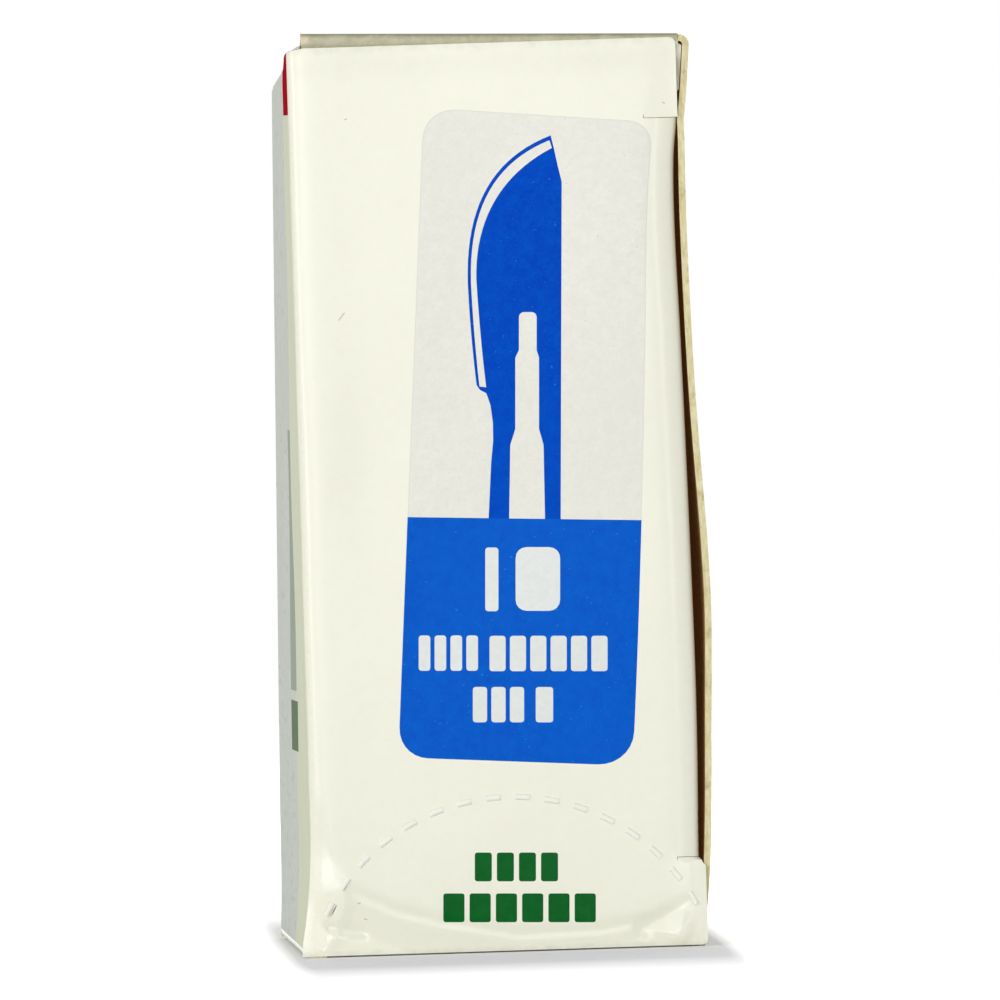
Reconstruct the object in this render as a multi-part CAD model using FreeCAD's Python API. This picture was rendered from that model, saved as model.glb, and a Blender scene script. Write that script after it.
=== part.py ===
import FreeCAD, Part
import math
import os

# A folding carton with a tuck closure at each end, standing on its long narrow side.
# Millimetres. X runs to the right across the front, Y goes into the carton and Z is up.
# The origin is under the middle of the carton, on the surface it stands on.
# It is folded from one sheet. The two closures swing on its left folds, so they are solids of their own.

os.makedirs("parts", exist_ok=True)

# Overall sizes, outside the board
box_width = 39.8
box_depth = 110.0
box_height = 90.2

# The board and how it folds
board = 0.65
play = 0.15
fold_radius = 1.0
tuck_fold_radius = 1.2

# How far the worn carton leans to the right, from its foot to its top
lean_front = 1.2
lean_middle = 1.44
lean_back = 1.8

# Where the foot of the left wall is kicked outwards at the front, and the lip that it turns onto the front
kick_height = 13.0
kick_bend = 6.5
kick_out = 1.15
lip_height = 9.75
lip_waist = 5.4

# Between the two ends: where the walls are shaped, and how much of the bow and the crush is there
middle_station = -16.0
middle_bow = 0.35
middle_crush = 0.55

# Crushed upper left fold at the back
crush_size = 3.8
crush_flatness = 0.7

# Bow of the right wall at the front: height as a share of the carton's, and how far out
right_bow = [
    (0.0, 0.1),
    (0.09, 0.8),
    (0.25, 1.15),
    (0.39, 1.25),
    (0.62, 0.05),
    (0.8, -0.5),
    (0.9, -0.45),
    (1.0, 0.1),
]

# Closures: how far they open, and how far they fall short of the carton's outside
open_angle = 140.0
closure_top_gap = 0.25
closure_foot_gap = 0.15
tuck_short_top = 1.9
tuck_short_foot = 1.4
shoulder_short_top = 1.5
shoulder_short_foot = 0.9

# The tuck flap, folded back into the carton
tuck_depth = 11.0
tuck_angle = 12.0
tuck_corner = 4.0
tuck_taper = 2.0

# The shoulders that stay flat beside it, and the hooked slits that part them from it
shoulder_top = 7.9
shoulder_foot = 8.7
shoulder_round = 0.7
slit_width = 0.15
slit_length_top = 3.4
slit_length_foot = 2.8
slit_hook = 0.6

# Worn upper left corner of a closure
corner_drop = 0.45
corner_run = 1.6

# Thumb tab, torn out along an arc of short cuts
tab_overrun = 0.5
tab_rise = 15.1
tab_centre = 0.3
tab_cuts = 16
tab_step = 8.09
tab_cut_length = 1.3
tab_cut_width = 0.15

# Dust flaps, and the raised fold of the front one at the top
dust_length = 30.0
dust_inset = 1.6
dust_slit = 0.2
dust_shoulder = 5.4
dust_step = 2.3
dust_clear = 1.3
dust_taper = 2.5
dust_corner = 3.0
crest_rise_left = 1.2
crest_rise_right = 0.1
crest_ramp = 4.0

# Glue flap inside the right wall
glue_width = 11.0
glue_points = 4
glue_setback = 6.0
glue_slant = 3.0

# How far joined solids sink into each other, and how far cutting solids reach past what they cut
bite = 0.05
reach = 1.0

front_face = -box_depth / 2
mouth_front = front_face + board + play
tab_radius = box_width / 2 + tab_overrun
tuck_reach_top = box_width - tuck_short_top
tuck_reach_foot = box_width - tuck_short_foot
shoulder_reach_top = box_width - shoulder_short_top
shoulder_reach_foot = box_width - shoulder_short_foot
UP = FreeCAD.Vector(0, 0, 1)


def point(x, y, z):
    return FreeCAD.Vector(x, y, z)


def line(start, end):
    return Part.LineSegment(start, end).toShape()


def bend(start, corner, end):
    """A rounded corner from start to end, along the two lines that meet at corner."""
    curve = Part.BezierCurve()
    curve.setPoles([start, corner, end])
    return curve.toShape()


def mitre(start, corner, end):
    """A plain cut corner, for the inside of a fold."""
    return line(start, end)


def arc(start, middle, end):
    return Part.Arc(start, middle, end).toShape()


def between(low, high, share):
    return low + (high - low) * share


def prism(corners, direction):
    """A solid swept from a closed outline of corners."""
    return Part.Face(Part.makePolygon(corners + [corners[0]])).extrude(direction)


def block(low, high):
    """A box between two opposite corners."""
    return Part.makeBox(high.x - low.x, high.y - low.y, high.z - low.z, low)


def swept(section, foot, head):
    """A level section at foot, swept up along the leaning line from foot to head, and past both."""
    solid = Part.Face(section).extrude(UP * (head.z - foot.z + 2 * reach))
    solid.translate(UP * -reach)
    solid.rotate(foot, point(0, 1, 0), math.degrees(math.atan2(head.x - foot.x, head.z - foot.z)))
    return solid


class End:
    """One end of the carton: which way is out of it, and how its side walls stand there."""

    def __init__(self, out, lean, bowed):
        self.out = out
        self.lean = lean
        self.bowed = bowed
        self.face = out * box_depth / 2
        self.mouth = self.face - out * (board + play)

    def depth(self, inwards):
        """Y at a distance inwards from the outer face of the closure."""
        return self.face - self.out * inwards

    def left(self, z):
        """X of the left fold, which is straight where the closure hangs."""
        if self.bowed:
            return wall_line(-1, box_height, self.lean)
        return wall_line(-1, z, self.lean)

    def right(self, z):
        """X of the right wall's outer face."""
        return wall_line(1, z, self.lean) + (right_bow_at(z) if self.bowed else 0.0)


def wall_line(side, z, lean):
    """X of the outer face of a straight side wall that leans."""
    return side * box_width / 2 + lean * (z / box_height - 0.5)


def right_bow_at(z):
    """How far the right wall bows out at the front, read between the heights that are given."""
    share = min(max(z / box_height, 0.0), 1.0)
    for (low, out_low), (high, out_high) in zip(right_bow, right_bow[1:]):
        if share <= high:
            return between(out_low, out_high, (share - low) / (high - low))
    return right_bow[-1][1]


front = End(-1, lean_front, True)
back = End(1, lean_back, False)


# The walls are shaped at three depths: their lean, and how much of the front's bow and of the crush is there
stations = [
    (mouth_front - reach, lean_front, 1.0, 0.0),
    (middle_station, lean_middle, middle_bow, middle_crush),
    (back.mouth + reach, lean_back, 0.0, 1.0),
]


def section(y, lean, bow, crushed_share, inset):
    """Closed outline of the tube at one depth: its outer face, or its inner face where inset is the board."""
    straight = front.left(0)
    flatness = crush_flatness * crushed_share
    left_top = between(wall_line(-1, box_height, lean), straight, bow) + inset
    kink = between(wall_line(-1, kick_height, lean), straight, bow) + inset
    left_foot = between(wall_line(-1, 0, lean), straight - kick_out, bow) + inset
    # Outside, the floor is drawn a little low, because tube() trims it to one flat face
    floor = inset if inset else -bite
    roof = box_height - inset
    corner = fold_radius - inset
    fold = mitre if inset else bend

    right = []
    for share, out in right_bow:
        z = between(fold_radius, box_height - fold_radius, share)
        right.append(point(wall_line(1, z, lean) + bow * out - inset, y, z))
    wall = Part.BSplineCurve()
    wall.interpolate(right)
    foot_right = point(right[0].x - corner, y, floor)
    top_right = point(right[-1].x - corner, y, roof)
    foot_left = point(left_foot + corner, y, floor)

    # A flat crushed corner keeps the board's thickness if its inner face is longer by this
    inner_growth = inset * (math.sqrt(2) - 1) * flatness
    crush = between(fold_radius, crush_size, crushed_share) + inner_growth
    crushed_low = point(left_top, y, box_height - crush)
    crushed_high = point(left_top - inset + crush, y, roof)
    crushed = point(left_top, y, roof)
    crushed = crushed + ((crushed_low + crushed_high) / 2 - crushed) * flatness
    kick_top = point(kink, y, kick_height)
    kick_foot = point(left_foot, y, fold_radius)

    return Part.Wire([
        line(foot_left, foot_right),
        fold(foot_right, point(right[0].x, y, floor), right[0]),
        wall.toShape(),
        fold(right[-1], point(right[-1].x, y, roof), top_right),
        line(top_right, crushed_high),
        bend(crushed_high, crushed, crushed_low),
        line(crushed_low, kick_top),
        bend(kick_top, point(kink, y, kick_bend), kick_foot),
        fold(kick_foot, point(left_foot, y, floor), foot_left),
    ])


def tube():
    """The four walls as one bent sheet, from the front mouth to the back one."""
    skins = []
    for inset in (0.0, board):
        skins.append(Part.makeLoft([section(*station, inset) for station in stations], True))
    walls = skins[0].cut(skins[1])
    return walls.common(block(
        point(-box_width, front.mouth, 0),
        point(box_width, back.mouth, box_height + reach),
    ))


def dust_profile(end, x, level, rise):
    """Bent section of a dust flap in the YZ plane at x, its fold raised by rise. level is 1 at the top."""
    base = box_height if level > 0 else 0.0
    crest = base + level * rise

    def at(y, z):
        return point(x, y, z)

    def corner(y, z, size):
        half = size * (1 - math.sqrt(0.5))
        middle = at(y - end.out * half, z - level * half)
        return arc(at(y, z - level * size), middle, at(y - end.out * size, z))

    ramp = end.mouth - end.out * (fold_radius + crest_ramp)
    turn = end.mouth - end.out * fold_radius
    inside = end.mouth - end.out * board
    tip = base - level * dust_length
    inner = fold_radius - board
    return Part.Wire([
        line(at(end.mouth, tip), at(end.mouth, crest - level * fold_radius)),
        corner(end.mouth, crest, fold_radius),
        line(at(turn, crest), at(ramp, base)),
        line(at(ramp, base), at(ramp, base - level * board)),
        line(at(ramp, base - level * board), at(turn, crest - level * board)),
        corner(inside, crest - level * board, inner),
        line(at(inside, crest - level * fold_radius), at(inside, tip)),
        line(at(inside, tip), at(end.mouth, tip)),
    ])


def dust_flap(end, level):
    """A dust flap folded in behind the closure, with the shoulder that the closure's slit locks behind."""
    base = box_height if level > 0 else 0.0
    raised = end.bowed and level > 0
    rise_left = crest_rise_left if raised else 0.0
    rise_right = crest_rise_right if raised else 0.0

    def height(down):
        return base - level * down

    left = end.left(base) + dust_inset
    clear = board + dust_slit
    right_high = end.right(height(fold_radius)) - clear
    right_low = end.right(height(dust_shoulder)) - clear
    narrow = end.left(height(dust_length / 2)) + tuck_reach_top - dust_clear
    profiles = [dust_profile(end, left, level, rise_left), dust_profile(end, right_high, level, rise_right)]
    sheet = Part.makeLoft(profiles, True, True)
    y = end.depth(-reach)
    past_crest = height(-2 * crest_rise_left - reach)
    outline = prism([
        point(left - reach, y, past_crest),
        point(right_high + reach, y, past_crest),
        point(right_high + reach, y, height(fold_radius)),
        point(right_high, y, height(fold_radius)),
        point(right_low, y, height(dust_shoulder)),
        point(narrow, y, height(dust_shoulder + dust_step)),
        point(narrow - dust_taper, y, height(dust_length - dust_corner)),
        point(narrow - dust_taper - dust_corner, y, height(dust_length)),
        point(left + dust_taper + dust_corner, y, height(dust_length)),
        point(left + dust_taper, y, height(dust_length - dust_corner)),
        point(left, y, height(dust_shoulder)),
        point(left - reach, y, height(dust_shoulder)),
    ], point(0, -end.out * (crest_ramp + fold_radius + board + play + 2 * reach), 0))
    return sheet.common(outline)


def mouth_relief(end, level):
    """What the walls lose at one end: the strip that the dust flap's fold takes the place of."""
    base = box_height if level > 0 else 0.0
    left = end.left(base) + dust_inset - dust_slit
    right = end.right(base - level * fold_radius) - board - dust_slit
    ramp = end.mouth - end.out * (fold_radius + crest_ramp)
    low = point(left, min(ramp, end.face), base - fold_radius)
    high = point(right, max(ramp, end.face), base + fold_radius)
    return block(low, high)


def glue_flap():
    """The flap that rises from the floor's right fold and is glued inside the right wall."""
    skins = []
    for y, lean, bow, _ in stations:
        outer = []
        for number in range(glue_points):
            z = between(board / 2, glue_width, number / (glue_points - 1))
            outer.append(point(wall_line(1, z, lean) + bow * right_bow_at(z) - board + bite, y, z))
        inner = [corner - point(board + bite, 0, 0) for corner in reversed(outer)]
        glued_face = Part.BSplineCurve()
        glued_face.interpolate(outer)
        open_face = Part.BSplineCurve()
        open_face.interpolate(inner)
        skins.append(Part.Wire([
            glued_face.toShape(),
            line(outer[-1], inner[0]),
            open_face.toShape(),
            line(inner[-1], outer[0]),
        ]))
    strip = Part.makeLoft(skins, True)
    near = front.mouth + glue_setback
    far = back.mouth - glue_setback
    trim = prism([
        point(0, near, -reach),
        point(0, near + glue_slant, glue_width + reach),
        point(0, far - glue_slant, glue_width + reach),
        point(0, far, -reach),
    ], point(box_width, 0, 0))
    return strip.common(trim)


def seam():
    """The hairline under the lower right corner, where the right wall's raw edge stops at the floor's fold."""
    loops = []
    for y, lean, bow, _ in stations:
        x = wall_line(1, fold_radius, lean) + bow * right_bow[0][1] - board
        corners = [
            point(x - slit_width, y, -reach),
            point(x, y, -reach),
            point(x, y, board),
            point(x - slit_width, y, board),
        ]
        loops.append(Part.makePolygon(corners + [corners[0]]))
    return Part.makeLoft(loops, True)


def kicked_lip():
    """The foot of the front left fold, which is kinked outwards and turns onto the front of the carton."""
    hinge = front.left(0)
    y = front.face
    foot = hinge - kick_out
    beside = hinge - play
    corner_end = point(foot + fold_radius / 2, y, closure_foot_gap)
    outline = Part.Wire([
        line(point(beside, y, closure_foot_gap), corner_end),
        bend(corner_end, point(foot, y, closure_foot_gap), point(foot, y, fold_radius)),
        bend(point(foot, y, fold_radius), point(beside, y, lip_waist), point(beside, y, lip_height)),
        line(point(beside, y, lip_height), point(beside, y, closure_foot_gap)),
    ])
    lip = Part.Face(outline).extrude(point(0, board + play + bite, 0))

    # Cut back so that the closure clears it at its widest
    axis = point(hinge + board / 2, front.depth(board / 2), 0)
    angle = math.radians(open_angle)
    along = point(math.cos(angle), -math.sin(angle), 0)
    across = point(-math.sin(angle), -math.cos(angle), 0)
    near = axis + across * (board / 2 + play) - along * reach
    far = near + along * (kick_out + 3 * reach)
    deep = across * (board + 3 * reach)
    return lip.cut(prism([near, far, far - deep, near - deep], UP * kick_height))


def carton_body():
    body = tube()
    for end in (front, back):
        for level in (1, -1):
            body = body.cut(mouth_relief(end, level))
    for end in (front, back):
        for level in (1, -1):
            body = body.fuse(dust_flap(end, level))
    body = body.fuse(glue_flap())
    body = body.cut(seam())
    body = body.fuse(kicked_lip())
    return body.removeSplitter()


def panel_profile(end, z, width):
    """Flat section of a closure at one height, from the round edge it hinges on to a cut edge width away."""
    hinge = end.left(z)
    outer = end.depth(0)
    inner = end.depth(board)
    middle = end.depth(board / 2)
    return Part.Wire([
        arc(point(hinge + board / 2, inner, z), point(hinge, middle, z), point(hinge + board / 2, outer, z)),
        line(point(hinge + board / 2, outer, z), point(hinge + width, outer, z)),
        line(point(hinge + width, outer, z), point(hinge + width, inner, z)),
        line(point(hinge + width, inner, z), point(hinge + board / 2, inner, z)),
    ])


def tuck_profile(end, z, start, fold_reach):
    """Section of a closure's free side at one height: flat, round the tuck fold, back into the carton."""
    fold = end.left(z) + fold_reach
    centre_x = fold - tuck_fold_radius
    inwards = -end.out
    angle = math.radians(tuck_angle)

    def around(radius, turn):
        x = centre_x + radius * math.sin(turn)
        y = end.depth(tuck_fold_radius) - inwards * radius * math.cos(turn)
        return point(x, y, z)

    full = math.pi / 2 + angle
    along = point(-math.sin(angle), inwards * math.cos(angle), 0) * tuck_depth
    inner = tuck_fold_radius - board
    outer_end = around(tuck_fold_radius, full)
    inner_end = around(inner, full)
    flat_outer = point(end.left(z) + start, end.depth(0), z)
    flat_inner = point(end.left(z) + start, end.depth(board), z)
    return Part.Wire([
        line(flat_outer, around(tuck_fold_radius, 0)),
        arc(around(tuck_fold_radius, 0), around(tuck_fold_radius, full / 2), outer_end),
        line(outer_end, outer_end + along),
        line(outer_end + along, inner_end + along),
        line(inner_end + along, inner_end),
        arc(inner_end, around(inner, full / 2), around(inner, 0)),
        line(around(inner, 0), flat_inner),
        line(flat_inner, flat_outer),
    ])


def closure_outline(end, foot, top):
    """What a closure keeps in front view: square at the foot, with worn corners at the top."""
    y = end.depth(-reach)
    left = end.left(top) - reach
    run = reach + corner_run
    right_top = end.left(top) + shoulder_reach_top
    right_foot = end.left(foot) + shoulder_reach_foot
    step = foot + shoulder_foot
    return prism([
        point(end.left(foot) - reach, y, foot),
        point(right_foot - shoulder_round, y, foot),
        point(right_foot, y, foot + shoulder_round),
        point(right_foot, y, step),
        point(right_foot + reach, y, step),
        point(right_top + reach, y, top - shoulder_top),
        point(right_top, y, top - shoulder_top),
        point(right_top, y, top - shoulder_round),
        point(right_top - shoulder_round, y, top),
        point(left + run, y, top),
        point(left, y, top - corner_drop * run / corner_run),
    ], point(0, -end.out * (tuck_depth + tuck_fold_radius + 3 * reach), 0))


def tuck_outline(end, low, high):
    """What a tuck flap keeps in side view: it narrows inwards and has cut corners."""
    start = end.depth(tuck_fold_radius)
    tip = end.depth(tuck_fold_radius + tuck_depth)
    out = end.depth(-reach)
    far = end.depth(tuck_fold_radius + tuck_depth + reach)
    bevel = between(start, tip, 1 - tuck_corner / tuck_depth)
    x = end.left(low) + tuck_reach_top / 2
    return prism([
        point(x, out, low),
        point(x, start, low),
        point(x, bevel, low + tuck_taper),
        point(x, tip, low + tuck_taper + tuck_corner),
        point(x, far, low + tuck_taper + tuck_corner),
        point(x, far, high - tuck_taper - tuck_corner),
        point(x, tip, high - tuck_taper - tuck_corner),
        point(x, bevel, high - tuck_taper),
        point(x, start, high),
        point(x, out, high),
    ], point(box_width, 0, 0))


def shoulder(end, z_low, z_high, start, width):
    """The flat corner of a closure beside the tuck flap, from start to width across."""
    y = end.depth(board)
    return prism([
        point(end.left(z_low) + start, y, z_low),
        point(end.left(z_low) + width, y, z_low),
        point(end.left(z_high) + width, y, z_high),
        point(end.left(z_high) + start, y, z_high),
    ], point(0, end.out * board, 0))


def lock_slits(end, low, high):
    """The two slits that let the tuck flap fold back while the shoulders stay flat."""
    thick = (end.depth(-reach), end.depth(board + reach))
    cuts = []
    for z, reach_right, length, level in (
        (low, shoulder_reach_foot, slit_length_foot, -1),
        (high - slit_width, shoulder_reach_top, slit_length_top, 1),
    ):
        right = end.left(z) + reach_right
        left = right - length
        hook_low, hook_high = sorted((z + slit_width / 2, z + slit_width / 2 + level * slit_hook))
        cuts.append(block(point(left, min(thick), z), point(right + reach, max(thick), z + slit_width)))
        cuts.append(block(point(left, min(thick), hook_low), point(left + slit_width, max(thick), hook_high)))
    return Part.makeCompound(cuts)


def tab_slots(end):
    """Short cuts through the board, set out along the arc of the thumb tab."""
    slots = []
    centre = point(tab_centre, end.depth(-reach), tab_rise - tab_radius)
    for number in range(tab_cuts):
        slot = Part.makeBox(tab_cut_length, board + 2 * reach, tab_cut_width)
        slot.translate(point(-tab_cut_length / 2, 0, tab_radius - tab_cut_width / 2))
        slot.rotate(point(0, 0, 0), point(0, 1, 0), (number - (tab_cuts - 1) / 2) * tab_step)
        slot.translate(centre)
        slots.append(slot)
    return Part.makeCompound(slots)


def closure(end):
    """An end closure: a panel hung on the left fold, two locked shoulders and a tuck flap folded in."""
    foot = closure_foot_gap
    top = box_height - closure_top_gap
    low = foot + shoulder_foot
    high = top - shoulder_top
    start = min(shoulder_reach_top - slit_length_top, shoulder_reach_foot - slit_length_foot)
    overlap = start - tuck_fold_radius

    def fold_line(z, fold_reach):
        return point(end.left(z) + fold_reach, end.depth(board / 2), z)

    panel = swept(panel_profile(end, foot, start), fold_line(foot, 0), fold_line(top, 0))
    tuck = tuck_profile(end, low, overlap, tuck_reach_foot)
    free = swept(tuck, fold_line(low, tuck_reach_foot), fold_line(high, tuck_reach_top))
    free = free.common(tuck_outline(end, low + slit_width, high - slit_width))
    lower = shoulder(end, foot, low + slit_width, overlap, shoulder_reach_foot)
    upper = shoulder(end, high - slit_width, top, overlap, shoulder_reach_top)
    flap = panel.fuse([free, lower, upper]).cut(lock_slits(end, low, high))
    return flap.common(closure_outline(end, foot, top)).removeSplitter()


pieces = {
    "carton_body": carton_body(),
    "front_flap": closure(front).cut(tab_slots(front)),
    "back_flap": closure(back),
}
for name, shape in pieces.items():
    box = shape.optimalBoundingBox()
    print(name, shape.isValid(), len(shape.Solids), "solid, volume", round(shape.Volume, 1), box)
    shape.exportStep("parts/" + name + ".step")
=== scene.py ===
import bpy
import bmesh
import math
from mathutils import Matrix, Vector, noise
from mathutils.geometry import delaunay_2d_cdt


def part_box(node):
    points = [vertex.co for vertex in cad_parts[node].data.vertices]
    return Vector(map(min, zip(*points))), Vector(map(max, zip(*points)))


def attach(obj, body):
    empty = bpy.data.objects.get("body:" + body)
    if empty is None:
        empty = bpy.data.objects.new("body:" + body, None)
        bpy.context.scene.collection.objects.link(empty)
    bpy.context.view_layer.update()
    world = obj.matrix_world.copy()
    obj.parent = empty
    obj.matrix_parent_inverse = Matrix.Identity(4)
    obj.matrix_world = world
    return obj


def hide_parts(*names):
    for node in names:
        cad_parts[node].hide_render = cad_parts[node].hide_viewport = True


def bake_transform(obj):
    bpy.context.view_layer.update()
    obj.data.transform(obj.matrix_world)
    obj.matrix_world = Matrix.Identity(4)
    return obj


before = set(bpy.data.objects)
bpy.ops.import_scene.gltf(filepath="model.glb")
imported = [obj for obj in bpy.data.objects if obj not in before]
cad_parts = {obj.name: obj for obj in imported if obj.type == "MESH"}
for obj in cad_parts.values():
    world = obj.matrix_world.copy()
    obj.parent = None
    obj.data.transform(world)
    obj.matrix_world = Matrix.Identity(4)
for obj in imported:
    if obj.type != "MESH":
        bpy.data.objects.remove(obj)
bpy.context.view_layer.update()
mm = 0.001

# The folded sheet, in millimetres. Its ends and top come from the frame, the rest repeats the part's sizes
sheet = {
    "width": 39.8,
    "top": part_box("front_flap")[1].z / mm + 0.25,
    "frontFace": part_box("front_flap")[0].y / mm,
    "backFace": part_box("back_flap")[1].y / mm,
    "board": 0.65,
    "foldRadius": 1.0,
    "mouthSetback": 0.85,       # from a closure's face to the walls' cut edges
    "lean": (1.2, 1.44, 1.8),   # front, middle, back
    "bow": (1.0, 0.35, 0.0),
    "crush": (0.14, 0.58, 1.0),
    "middle": -16.0,
    "kickHeight": 13.0,
    "kickOut": 1.15,
    "crushSize": 3.8,
    "crushFlatness": 0.7,
    "rightBow": [(0, 0.1), (0.09, 0.8), (0.25, 1.15), (0.39, 1.25), (0.62, 0.05), (0.8, -0.5), (0.9, -0.55),
                 (0.926, -0.6), (0.938, -0.36), (1, 0.05)],
}


def mix(low, high, share):
    return low + (high - low) * share


def smooth(value):
    t = min(max(value, 0.0), 1.0)
    return t * t * (3 - 2 * t)


def steps(low, high, count):
    return [mix(low, high, n / count) for n in range(count + 1)]


# A value given at the front, at the middle station and at the back, read at depth y
def along(values, y):
    a, b, c = sheet["frontFace"], sheet["middle"], sheet["backFace"]
    front, middle, back = values
    nearShare = (y - b) * (y - c) / ((a - b) * (a - c))
    midShare = (y - a) * (y - c) / ((b - a) * (b - c))
    farShare = (y - a) * (y - b) / ((c - a) * (c - b))
    return front * nearShare + middle * midShare + back * farShare


# A smooth curve through pairs of place and value
def through(pairs, place):
    last = len(pairs) - 1
    n = max(i for i in range(last) if pairs[i][0] <= place or i == 0)
    (x0, y0), (x1, y1) = pairs[n], pairs[n + 1]
    before, after = pairs[max(n - 1, 0)], pairs[min(n + 2, last)]
    span = x1 - x0
    slope0 = (y1 - before[1]) / (x1 - before[0])
    slope1 = (after[1] - y0) / (after[0] - x0)
    t = min(max((place - x0) / span, 0.0), 1.0)
    start = (2 * t**3 - 3 * t**2 + 1) * y0 + (t**3 - 2 * t**2 + t) * span * slope0
    return start + (3 * t**2 - 2 * t**3) * y1 + (t**3 - t**2) * span * slope1


def bezier(points, count):
    found = []
    for t in steps(0, 1, count):
        level = [Vector(p) for p in points]
        while len(level) > 1:
            level = [a.lerp(b, t) for a, b in zip(level, level[1:])]
        found.append(tuple(level[0]))
    return found


def straightX(side, z, y):
    return side * sheet["width"] / 2 + along(sheet["lean"], y) * (z / sheet["top"] - 0.5)


def rightX(z, y):
    share = (z - sheet["foldRadius"]) / (sheet["top"] - 2 * sheet["foldRadius"])
    return straightX(1, z, y) + along(sheet["bow"], y) * through(sheet["rightBow"], min(max(share, 0), 1))


def leftX(z, y):
    bow = along(sheet["bow"], y)
    hinge = straightX(-1, sheet["top"], sheet["frontFace"])
    upper = mix(straightX(-1, max(z, sheet["kickHeight"]), y), hinge, bow)
    foot = mix(straightX(-1, 0, y), hinge - sheet["kickOut"], bow)
    t = min(max((sheet["kickHeight"] - z) / (sheet["kickHeight"] - sheet["foldRadius"]), 0.0), 1.0)
    return mix(upper, foot, t * t)


# Shallow dents and waves that a handled carton has, always inwards, in millimetres
def handling(x, y, z, seed, size, depth):
    spot = Vector((x, y, z)) / size + Vector((seed, seed * 2.3, seed * 0.7))
    return depth * min(max(0.5 + 0.9 * noise.noise(spot), 0.0), 1.0)


def linked(name, data):
    made = bpy.data.objects.new(name, data)
    bpy.context.scene.collection.objects.link(made)
    return made


# Nodes for the materials
def makeMaterial(name, build):
    material = bpy.data.materials.new(name)
    material.use_nodes = True
    tree = material.node_tree
    shader = tree.nodes["Principled BSDF"]
    place = tree.nodes.new("ShaderNodeTexCoord").outputs["Object"]
    build(tree, shader, place)
    return material


def scaled(tree, place, scale):
    node = tree.nodes.new("ShaderNodeMapping")
    node.inputs["Scale"].default_value = scale
    tree.links.new(place, node.inputs["Vector"])
    return node.outputs["Vector"]


def noiseNode(tree, place, scale, detail=4.0, rough=0.55):
    node = tree.nodes.new("ShaderNodeTexNoise")
    node.inputs["Scale"].default_value = scale
    node.inputs["Detail"].default_value = detail
    node.inputs["Roughness"].default_value = rough
    tree.links.new(place, node.inputs["Vector"])
    return node.outputs["Fac"]


def ranged(tree, value, low, high, outLow=0.0, outHigh=1.0):
    node = tree.nodes.new("ShaderNodeMapRange")
    node.inputs["From Min"].default_value = low
    node.inputs["From Max"].default_value = high
    node.inputs["To Min"].default_value = outLow
    node.inputs["To Max"].default_value = outHigh
    tree.links.new(value, node.inputs["Value"])
    return node.outputs["Result"]


def calculate(tree, operation, first, second):
    node = tree.nodes.new("ShaderNodeMath")
    node.operation = operation
    for socket, value in zip(node.inputs, (first, second)):
        if isinstance(value, (int, float)):
            socket.default_value = value
        else:
            tree.links.new(value, socket)
    return node.outputs["Value"]


def times(tree, value, factor):
    return calculate(tree, "MULTIPLY", value, factor)


def mixColour(tree, share, first, second):
    node = tree.nodes.new("ShaderNodeMix")
    node.data_type = "RGBA"
    for name, value in (("Factor", share), ("A", first), ("B", second)):
        socket = [s for s in node.inputs if s.name == name and s.enabled][0]
        if isinstance(value, tuple):
            socket.default_value = (*value, 1.0)
        else:
            tree.links.new(value, socket)
    return [s for s in node.outputs if s.enabled][0]


def attribute(tree, name):
    node = tree.nodes.new("ShaderNodeAttribute")
    node.attribute_name = name
    return node.outputs["Fac"]


def bump(tree, shader, height, strength, distance):
    node = tree.nodes.new("ShaderNodeBump")
    node.inputs["Strength"].default_value = strength
    node.inputs["Distance"].default_value = distance
    tree.links.new(height, node.inputs["Height"])
    tree.links.new(node.outputs["Normal"], shader.inputs["Normal"])


def srgb(red, green, blue):
    return tuple(((c / 255 + 0.055) / 1.055) ** 2.4 if c > 10 else c / 3294.6 for c in (red, green, blue))


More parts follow.
